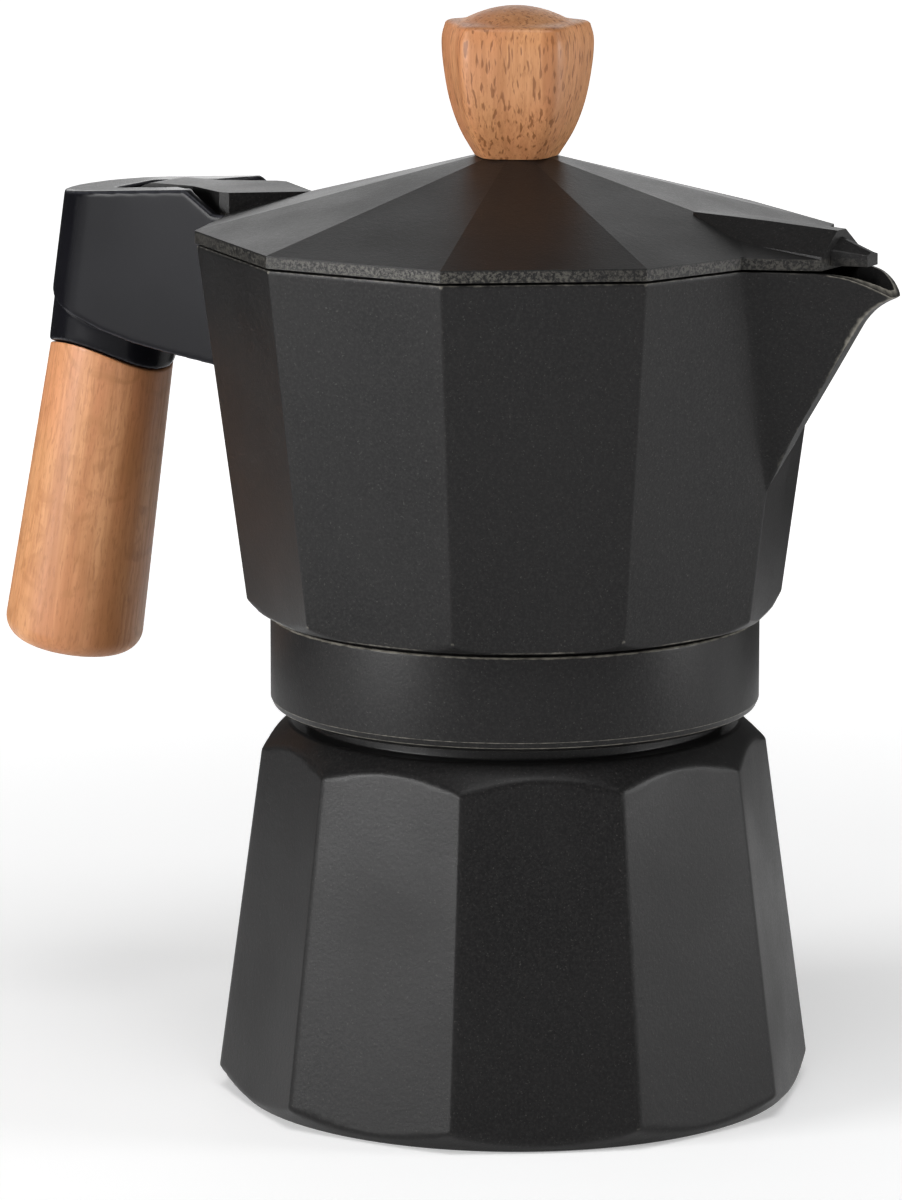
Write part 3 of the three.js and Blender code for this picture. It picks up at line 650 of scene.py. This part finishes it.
def make_collector():
    angles = wall_angles(spaced(-16.0, 16.0, 0.45))
    near_spout = [math.cos(a) > 0.9 for a in angles]
    outer_top = [mouth_level(collector_outside, a) if s else RIM for a, s in zip(angles, near_spout)]
    inner_top = [mouth_level(collector_inside, a) if s else RIM for a, s in zip(angles, near_spout)]

    underside = [
        (5.5, 78.3), (26.0, 75.0), (29.0, 75.0), (29.0, 74.1), (33.2, 74.1), (33.2, 71.4),
        (COLLAR_BORE, 70.8),
    ]
    collar = [
        (COLLAR_BORE, 60.3), (34.5, 59.75), (35.9, 59.75), (37.1, 60.45), (37.5, 61.35), (37.5, 74.3),
        (36.3, 74.3), (36.3, 75.0), (37.6, 75.0),
    ]
    rings = round_rings(angles, filleted(underside, 0.2))
    for z in spaced(70.6, 60.4, 0.28):
        rings.append(level_ring(angles, lambda angle: COLLAR_BORE - thread_height(angle, z, 62.4, 0.75), z))
    rings += round_rings(angles, filleted(collar, 0.45))
    rings.append(level_ring(angles, lambda angle: collector_outside(angle, 75.0) - 0.45, 75.0))
    rings.append(level_ring(angles, lambda angle: collector_outside(angle, 75.05) - 0.12, 75.08))
    base = 75.3
    heights = spaced(base, 78.0, 0.17) + spaced(79.6, 96.0, 1.6) + spaced(97.0, 121.0, 1.0)
    heights += spaced(121.5, RIM - RIM_ROUND, 0.33)
    for height in heights:
        share = (height - base) / (RIM - RIM_ROUND - base)
        levels = [base + share * (top - RIM_ROUND - base) for top in outer_top]
        rings.append(sloping_ring(angles, collector_outside, levels))
    for inset, drop in ((0.1, 0.1), (RIM_ROUND, 0.0)):
        rings.append(sloping_ring(angles, collector_outside, outer_top, -inset, drop))
    for inset, drop in ((0.3, 0.0), (0.08, 0.08)):
        rings.append(sloping_ring(angles, collector_inside, inner_top, inset, drop))
    floor = 80.9
    depths = spaced(0.3, 9.9, 0.35) + spaced(11.0, 34.0, 1.0)
    depths += spaced(36.0, 44.0, 1.6) + spaced(44.6, 50.3, 0.5)
    for depth in depths:
        share = (depth - 0.3) / 50.0
        levels = [top - 0.3 - share * (top - 0.3 - floor) for top in inner_top]
        rings.append(sloping_ring(angles, collector_inside, levels))
    chamber_floor = [
        (34.2, 80.62), (33.0, CHAMBER_FLOOR), (9.0, CHAMBER_FLOOR), (9.0, 85.5), (5.4, 85.5), (5.4, 79.0),
    ]
    rings += round_rings(angles, filleted(chamber_floor, 0.5))
    mesh = ring_mesh("collector_casting", rings, closed=True)
    mark_wear(mesh, 0.9)
    for vertex, wear in zip(mesh.vertices, mesh.attributes["wear"].data):
        if vertex.co.x > LIP_START * MM:
            wear.value = min(wear.value * 1.7, 1.0)
    new_piece("collector_casting", mesh, "upper", ["collector"], paint)


def side_prism(name, outline, half):
    """Closed block from a side outline of (x, z), a half width to each side."""
    mesh = bpy.data.meshes.new(name)
    bm = bmesh.new()
    near = [bm.verts.new((x * MM, -half * MM, z * MM)) for x, z in outline]
    far = [bm.verts.new((x * MM, half * MM, z * MM)) for x, z in outline]
    bm.faces.new(near)
    bm.faces.new(list(reversed(far)))
    for i in range(len(outline)):
        j = (i + 1) % len(outline)
        bm.faces.new((near[j], near[i], far[i], far[j]))
    bmesh.ops.recalc_face_normals(bm, faces=bm.faces)
    bm.to_mesh(mesh)
    bm.free()
    return mesh


def make_lug():
    block = side_prism("lug", [(-44.4, 113), (-60, 113), (-62, 115), (-62, 121.5), (-44.6, 121.5)], 4.5)
    bevel = {"width": 0.7 * MM, "segments": 4, "limit_method": "ANGLE"}
    mesh = baked(block, ("BEVEL", bevel), ("WEIGHTED_NORMAL", {}))
    shade(mesh, 50)
    mark_wear(mesh, 0.6)
    new_piece("collector_lug", mesh, "upper", [], paint)


# ---------------------------------------------------------------- lid, knob and handle
def make_lid():
    mesh = softened("lid", 0.3, 5.5)
    mark_wear(mesh, 0.55)
    new_piece("lid_casting", mesh, "lid_body", ["lid"], paint_lid)


def soft_polygon(angle, sides, sharpness):
    """Radius of a soft-cornered polygon of unit half width."""
    total = 0.0
    for k in range(sides):
        total += max(math.cos(angle - 2 * math.pi * k / sides), 0.0) ** sharpness
    return total ** (-1 / sharpness)


def make_knob():
    seat = 144.42
    count = 180
    facing = math.radians(-64)
    outline = [(5.9, seat), (7.9, 148.2), (9.3, 152.7), (10.1, 158.0), (10.25, 161.8), (9.8, 163.9)]
    rings = [circle(0, seat, count), circle(5.5, seat, count)]

    def level(radius, z, sharpness, roundness=0.0):
        ring = []
        for i in range(count):
            angle = 2 * math.pi * i / count
            shape = soft_polygon(angle, 5, sharpness)
            r = radius * (shape * (1 - roundness) + roundness)
            ring.append((r * math.cos(angle + facing), r * math.sin(angle + facing), z))
        rings.append(ring)

    steps = 45
    for i, (r, z) in enumerate(spline(outline, steps)):
        level(r, z, 8 + 8.1 * i / steps)
    for r, z in ((9.72, 164.15), (9.55, 164.38), (9.3, 164.55), (9.0, 164.66)):
        level(r, z, 17)
    for r, z, roundness in ((8.6, 164.76, 0.35), (8.2, 164.9, 0.75), (7.8, 165.08, 1.0)):
        level(r, z, 17, roundness)
    for r in (7.0, 6.0, 5.0, 4.0, 3.0, 2.0, 1.0, 0.4):
        level(r, 167.1 - 2.02 * (r / 7.8) ** 2, 17, 1.0)
    rings.append(circle(0, 167.1, count))
    mesh = ring_mesh("knob_wood", rings, sharp_degrees=60)
    new_piece("knob_wood", mesh, "lid_body", ["knob"], knob_beech)


def make_bracket():
    mesh = cad_copy("handle_bracket", flat_degrees=0)
    mesh = baked(
        mesh,
        ("REMESH", {"mode": "VOXEL", "voxel_size": 0.32 * MM, "use_smooth_shade": True}),
        ("SMOOTH", {"factor": 0.5, "iterations": 12}),
    )
    shade(mesh, 70)
    mark_wear(mesh, 0.9)
    new_piece("bracket_moulding", mesh, "upper", ["handle_bracket"], plastic)


GRIP_FRAME = Matrix.Translation((-74.4, 0, 107.8)) @ Matrix.Rotation(math.radians(GRIP_TILT), 4, "Y")


def saddle(y):
    """Height at which the grip meets its cup, in the grip's frame."""
    return 0.15 + 0.0287 * y * y


def make_grip():
    count = 128
    length, end, top, round_end = 48.2, 11.0, 9.8, 3.6
    rings = [circle(r, z, count) for r, z in filleted(
        [(8.0, 7.5), (2.6, 7.5), (2.6, -40.6), (5.3, -40.6), (5.3, -length + 0.25)], 0.3)]
    middle_z = -length + 0.5 + round_end
    for degrees in spaced(-86, 0, 8):
        a = math.radians(degrees)
        r = end - round_end + round_end * math.cos(a)
        rings.append(circle(r, middle_z + round_end * math.sin(a), count))
    for share in spaced(0.1, 0.9, 0.1):
        rings.append(circle(end + (top - end) * share, middle_z * (1 - share), count))
    shoulder = ((0, 0.7), (0, 0.4), (0.08, 0.18), (0.3, 0.03), (0.6, 0.0))
    for r, below in [(top - inset, drop) for inset, drop in shoulder] + [(8.05, 0.0)]:
        rings.append([(x, y, saddle(y) - below) for x, y, _ in circle(r, 0, count)])
    mesh = ring_mesh("grip_wood", rings, closed=True, place=GRIP_FRAME, sharp_degrees=50)
    new_piece("grip_wood", mesh, "upper", ["grip"], grip_beech)


# ---------------------------------------------------------------- fixings
BOX_FACES = ((0, 1, 2, 3), (4, 5, 6, 7), (0, 1, 5, 4), (1, 2, 6, 5), (2, 3, 7, 6), (3, 0, 4, 7))


def cross_head(name, head_radius, head_low, head_high, shank, far_end, place, facing_up):
    """Pan-head screw with a cross recess; the head is at the low end unless it faces up."""
    sign = -1 if facing_up else 1
    face, under = (head_high, head_low) if facing_up else (head_low, head_high)
    outline = [(0, face), (head_radius - 0.5, face), (head_radius, face + sign * 0.7), (head_radius, under),
               (shank, under), (shank, far_end - sign * 0.5), (shank - 0.4, far_end), (0, far_end)]
    path = filleted(outline, 0.35)
    mesh = ring_mesh(name, [circle(r, z, 64) for r, z in path], place=place)
    slots = bpy.data.meshes.new("slots")
    bm = bmesh.new()
    for across, width in ((head_radius * 0.62, 0.45), (0.45, head_radius * 0.62)):
        corners = []
        for z, grow in ((face - sign * 0.5, 1.15), (face + sign * 1.05, 0.45)):
            for x, y in ((-1, -1), (1, -1), (1, 1), (-1, 1)):
                corner = place @ Vector((x * across * grow, y * width * grow, z))
                corners.append(bm.verts.new(corner * MM))
        for face_points in BOX_FACES:
            bm.faces.new([corners[k] for k in face_points])
        bmesh.ops.recalc_face_normals(bm, faces=bm.faces)
    bm.to_mesh(slots)
    bm.free()
    return carved(mesh, slots, use_self=True)


UPRIGHT = Matrix.Identity(4)


def make_fixings():
    # Name, node, body, head radius, low and high end of the head, shank radius, far end, place, facing up.
    screws = (
        ("knob_screw_steel", "knob_screw", "lid_body", 3.4, 138.9, 140.9, 1.6, 152.0, UPRIGHT, False),
        ("grip_screw_steel", "grip_screw", "upper", 4.2, -44.6, -41.6, 2.0, 14.8, GRIP_FRAME, False),
        ("bracket_screw_steel", "bracket_screw", "upper", 2.9, 124.2, 125.8, 1.9, 115.0,
         Matrix.Translation((-58.3, 0, 0)), True),
    )
    for name, node, body, head, low, high, shank, far, place, up in screws:
        mesh = cross_head(name, head, low, high, shank, far, place, up)
        new_piece(name, mesh, body, [node], steel)
    # Name, node, body, inner and outer radius, low and high end, place; the inserts have the same.
    washers = (
        ("knob_washer_steel", "knob_washer", "lid_body", 2.1, 4.3, 141.0, 141.8, UPRIGHT),
        ("grip_washer_steel", "grip_washer", "upper", 2.2, 4.9, -41.5, -40.7, GRIP_FRAME),
    )
    for name, node, body, inner, outer, low, high, place in washers:
        outline = [(inner, low), (outer, low), (outer, high), (inner, high)]
        new_piece(name, turned(name, outline, 0.2, place=place), body, [node], steel)
    inserts = (
        ("knob_insert_brass", "knob_insert", "lid_body", 1.75, 2.95, 144.82, 153.0, UPRIGHT),
        ("grip_insert_brass", "grip_insert", "upper", 2.15, 3.2, 8.6, 15.4, GRIP_FRAME),
    )
    for name, node, body, inner, outer, low, high, place in inserts:
        outline = [(inner, low), (outer, low)]
        for z in spaced(low + 0.6, high - 1.2, 1.2):
            outline += [(outer, z), (outer - 0.18, z + 0.25), (outer - 0.18, z + 0.5), (outer, z + 0.75)]
        outline += [(outer, high), (inner, high)]
        new_piece(name, turned(name, outline, 0.1, 64, place=place), body, [node], brass)
    pin = [(0, -9.6), (1.25, -9.6), (1.5, -9.3), (1.5, 10.4), (1.25, 10.7), (0, 10.7)]
    lay = Matrix.Translation((-63, 0, 131.4)) @ Matrix.Rotation(math.radians(-90), 4, "X")
    mesh = turned("hinge_pin_steel", pin, 0.2, 48, closed=False, place=lay)
    new_piece("hinge_pin_steel", mesh, "upper", ["hinge_pin"], steel)


# ---------------------------------------------------------------- inner parts
def make_column():
    outline = [(0, 119.4), (3.2, 118.4), (3.3, 79.6), (5.3, 79.6), (5.3, 88), (4.7, 118), (3.2, 121.4),
               (0, 122.2)]
    path = filleted(outline, 0.6)
    tube = ring_mesh("column", [circle(r, z, 72) for r, z in path])
    slot_block = side_prism("outlet", [(-2, 112.5), (2, 112.5), (2, 117.5), (-2, 117.5)], 9)
    rounded = baked(slot_block, ("BEVEL", {"width": 1.2 * MM, "segments": 4, "limit_method": "ANGLE"}))
    mesh = carved(tube, rounded)
    new_piece("riser_column_tube", mesh, "upper", ["riser_column"], aluminium)


def plate(name, radius, low, high, rows, hole):
    """Thin round plate pierced with rings of round holes, given as (ring radius, count)."""
    curve = bpy.data.curves.new(name, "CURVE")
    curve.dimensions = "2D"
    curve.fill_mode = "BOTH"
    edge = 0.12
    curve.extrude = (high - low) / 2 * MM - edge * MM
    curve.bevel_depth = edge * MM
    curve.bevel_resolution = 1

    def loop(cx, cy, r, count):
        line = curve.splines.new("POLY")
        line.points.add(count - 1)
        for i, point in enumerate(line.points):
            a = 2 * math.pi * i / count
            point.co = ((cx + r * math.cos(a)) * MM, (cy + r * math.sin(a)) * MM, 0, 1)
        line.use_cyclic_u = True

    loop(0, 0, radius - edge, 120)
    for ring_radius, count in rows:
        for i in range(count):
            a = 2 * math.pi * (i + 0.5) / count
            loop(ring_radius * math.cos(a), ring_radius * math.sin(a), hole + edge, 14)
    holder = placed(name, curve)
    view = bpy.context.evaluated_depsgraph_get()
    mesh = bpy.data.meshes.new_from_object(holder.evaluated_get(view))
    bpy.data.objects.remove(holder)
    bm = bmesh.new()
    bm.from_mesh(mesh)
    bmesh.ops.translate(bm, verts=bm.verts, vec=(0, 0, (low + high) / 2 * MM))
    bmesh.ops.remove_doubles(bm, verts=bm.verts, dist=WELD)
    bmesh.ops.recalc_face_normals(bm, faces=bm.faces)
    bm.to_mesh(mesh)
    bm.free()
    shade(mesh, 35)
    mesh.materials.clear()
    return mesh


def make_inner_parts():
    seal = [(25.6, 71.0), (32.7, 71.0), (32.7, 74.0), (25.6, 74.0)]
    new_piece("gasket_silicone", turned("gasket_silicone", seal, 0.5, 144), "seal", ["gasket"], silicone)
    rows = [(5.0, 6), (9.5, 13), (14.0, 20), (18.5, 27), (23.0, 34)]
    new_piece("filter_plate_pierced", plate("filter_plate_pierced", 28.6, 74.1, 74.9, rows, 0.5), "filter",
              ["filter_plate"], aluminium)
    new_piece("funnel_sieve_pierced", plate("funnel_sieve_pierced", 25.9, 50.2, 51.0, rows[:4], 0.55),
              "funnel", ["funnel_sieve"], aluminium)
    cup, sheet, bottom, seat = 27.9, 0.8, 48.8, 70.1
    basket = [(5.3, 40), (5.3, 44.8), (cup - 0.8, bottom), (cup, seat), (32.0, seat), (32.0, seat + sheet),
              (cup - sheet, seat + sheet), (cup - 1.6, bottom + 0.9), (4.6, 45.7), (4.6, 40)]
    new_piece("funnel_basket_spun", turned("funnel_basket_spun", basket, 0.7, 144), "funnel",
              ["funnel_basket"], aluminium)
    stem = [(3.7, 9), (4.4, 9), (4.4, 44.5), (3.7, 44.5)]
    new_piece("funnel_stem_tube", turned("funnel_stem_tube", stem, 0.2, 72), "funnel", ["funnel_stem"],
              aluminium)


def make_valve():
    mesh = softened("valve_body", 0.25, 25)
    new_piece("valve_body_hex", mesh, "boiler_body", ["valve_body"], brass)
    for node, material in (("valve_seal", fibre_red), ("valve_pin", steel), ("valve_retainer", brass)):
        nodes[node].data.materials.clear()
        nodes[node].data.materials.append(material)


def make_valve_spring():
    """The coil as a piece with a mesh of its own, riding on the boiler body."""
    mesh = cad_copy("valve_spring", flat_degrees=0)
    shade(mesh, 70)
    coil = new_piece("valve_spring_coil", mesh, "boiler_body", ["valve_spring"], steel)
    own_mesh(coil)


make_boiler()
make_collector()
make_lug()
make_lid()
make_knob()
make_bracket()
make_grip()
make_fixings()
make_column()
make_inner_parts()
make_valve()
make_valve_spring()


# ---------------------------------------------------------------- studio
def add_camera():
    """Long lens, above the rim, a little to the spout side of the front."""
    at = Vector((0.5188, -0.8659, 0.2697))
    axis_point = Vector((0, 0, 0.0758))
    pot_right_of_middle = 0.0098
    data = bpy.data.cameras.new("camera")
    data.sensor_width = 36.0
    data.lens = 201.15
    data.clip_end = 20.0
    camera = placed("camera", data)
    camera.location = at
    right = (axis_point - at).cross(Vector((0, 0, 1))).normalized()
    aim = axis_point - right * pot_right_of_middle - at
    camera.rotation_euler = aim.to_track_quat("-Z", "Y").to_euler()
    bpy.context.scene.camera = camera


def add_floor():
    """White floor that glows a little, so that it stays even to the horizon; the glow is weaker under the
    pot, a painted shadow.
    """
    look = Look("floor_white")
    cloud = look.noise(look.mapped((3, 3, 3)), detail=2.0)
    tone = look.mix(cloud, (0.8, 0.8, 0.805), (0.84, 0.84, 0.84))
    away = look.tree.nodes.new("ShaderNodeVectorMath")
    away.operation = "LENGTH"
    look.put(away.inputs[0], look.coords)
    # Painted shadow: the glow fades towards the pot, darkening the floor round its foot.
    glow_with_painted_shadow = look.spread(away.outputs["Value"], 0.08, 0.6, 0.32, 0.9)
    look.put(look.shader.inputs["Emission Strength"], glow_with_painted_shadow)
    material = look.finish(
        tone, look.spread(cloud, 0.3, 0.7, 0.9, 1.0),
        Specular_IOR_Level=0.0, Emission_Color=(1, 1, 1, 1),
    )
    mesh = bpy.data.meshes.new("floor")
    bm = bmesh.new()
    bmesh.ops.create_grid(bm, x_segments=12, y_segments=12, size=4)
    bm.to_mesh(mesh)
    bm.free()
    mesh.materials.append(material)
    placed("floor", mesh)


def add_backdrop():
    """White drum round the floor, which only the camera sees, for the views from low down."""
    look = Look("backdrop_white")
    cloud = look.noise(look.mapped((0.3, 0.3, 0.3)), detail=2.0)
    tone = look.mix(cloud, (0.8, 0.8, 0.805), (0.84, 0.84, 0.84))
    material = look.finish(tone, 1.0, Emission_Color=(1, 1, 1, 1), Emission_Strength=0.9)
    drum = ring_mesh("backdrop", [circle(3500, z, 64) for z in (-1, 3000)])
    backdrop = placed("backdrop", drum)
    drum.materials.append(material)
    for sight in ("diffuse", "glossy", "transmission", "shadow"):
        setattr(backdrop, f"visible_{sight}", False)


def add_flag(name, azimuth, distance, width, height):
    """Black card standing beside the pot, which only glossy surfaces see."""
    look = Look(name)
    material = look.finish((0.004, 0.004, 0.004, 1), 0.9)
    a = math.radians(azimuth)
    middle = Vector((math.cos(a), math.sin(a), 0)) * distance
    side = Vector((-math.sin(a), math.cos(a), 0)) * width / 2
    foot = Vector((0, 0, 0.002))
    top = Vector((0, 0, height))
    mesh = bpy.data.meshes.new(name)
    bm = bmesh.new()
    corners = (middle - side + foot, middle + side + foot, middle + side + top, middle - side + top)
    bm.faces.new([bm.verts.new(p) for p in corners])
    bm.to_mesh(mesh)
    bm.free()
    flag = placed(name, mesh)
    mesh.materials.append(material)
    flag.visible_camera = False
    flag.visible_diffuse = False
    flag.visible_shadow = False


def add_softbox(name, azimuth, elevation, distance, width, height, power):
    """Area light at a direction from the pot, in degrees, facing it."""
    target = Vector((0, 0, 0.08))
    a, e = math.radians(azimuth), math.radians(elevation)
    away = Vector((math.cos(a) * math.cos(e), math.sin(a) * math.cos(e), math.sin(e)))
    data = bpy.data.lights.new(name, "AREA")
    data.shape = "RECTANGLE"
    data.size = width
    data.size_y = height
    data.energy = power
    lamp = placed(name, data)
    lamp.location = target + away * distance
    lamp.rotation_euler = (-away).to_track_quat("-Z", "Y").to_euler()


def add_studio():
    """Dim all round and bright low down behind; a softbox to each side, one overhead, two cards."""
    world = bpy.data.worlds.new("studio")
    world.use_nodes = True
    tree = world.node_tree
    background = tree.nodes["Background"]
    background.inputs["Color"].default_value = (1, 1, 1, 1)
    aim = tree.nodes.new("ShaderNodeVectorMath")
    aim.operation = "DOT_PRODUCT"
    tree.links.new(tree.nodes.new("ShaderNodeTexCoord").outputs["Generated"], aim.inputs[0])
    aim.inputs[1].default_value = (-0.504, 0.839, 0.204)
    fade = tree.nodes.new("ShaderNodeMapRange")
    fade.interpolation_type = "SMOOTHSTEP"
    tree.links.new(aim.outputs["Value"], fade.inputs["Value"])
    for key, number in zip(RANGE_ENDS, (0.91, 0.99, 0.15, 1.7)):
        fade.inputs[key].default_value = number
    tree.links.new(fade.outputs["Result"], background.inputs["Strength"])
    bpy.context.scene.world = world
    bpy.context.scene.view_settings.view_transform = "Standard"
    add_softbox("left", -119, 9, 1.0, 0.4, 0.28, 9.0)
    add_softbox("right", 22, 8, 1.0, 0.3, 0.3, 4.5)
    add_softbox("overhead", -59, 66, 1.1, 0.6, 0.5, 5.0)
    add_flag("flag_left", 167, 0.3, 0.4, 0.16)
    add_flag("flag_right", 86, 0.3, 0.26, 0.16)


add_camera()
add_floor()
add_backdrop()
add_studio()
